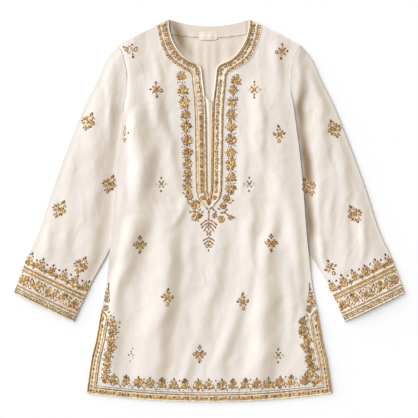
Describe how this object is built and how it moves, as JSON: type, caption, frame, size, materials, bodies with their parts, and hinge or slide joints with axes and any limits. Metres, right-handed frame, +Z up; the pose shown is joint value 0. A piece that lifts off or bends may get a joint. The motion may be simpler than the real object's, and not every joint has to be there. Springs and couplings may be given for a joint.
{
  "type": "kurta tunic",
  "caption": "Long-sleeved kurta tunic laid flat, with a round neck, a long centre slit, side slits and worked gold borders.",
  "frame": {"origin": "centre of the garment's outline, on the surface it lies on", "axes": "+X across the garment towards the sleeve at the right of the picture, +Y towards the neck, +Z up off the surface"},
  "size_m": [0.861, 0.8402, 0.0128],
  "materials": {
    "ivory_cloth": "soft ivory cotton silk, plain weave, faint sheen",
    "inside_cloth": "ivory cotton silk, wrong side",
    "piping": "ivory corded binding",
    "gold_work": "gold and brown thread and bead work",
    "label": "plain woven label, bare"
  },
  "bodies": {
    "root": {"front_panel": "ivory_cloth", "back_panel": "inside_cloth", "sleeve_left": "ivory_cloth", "sleeve_right": "ivory_cloth", "neck_piping_left": "piping", "neck_piping_right": "piping", "neck_band": "gold_work", "placket_strip": "ivory_cloth", "back_neck_facing": "inside_cloth", "neck_label": "label", "cuff_border_left": "gold_work", "cuff_border_right": "gold_work", "hem_border": "gold_work", "slit_border_left": "gold_work", "slit_border_right": "gold_work"}
  },
  "joints": []
}
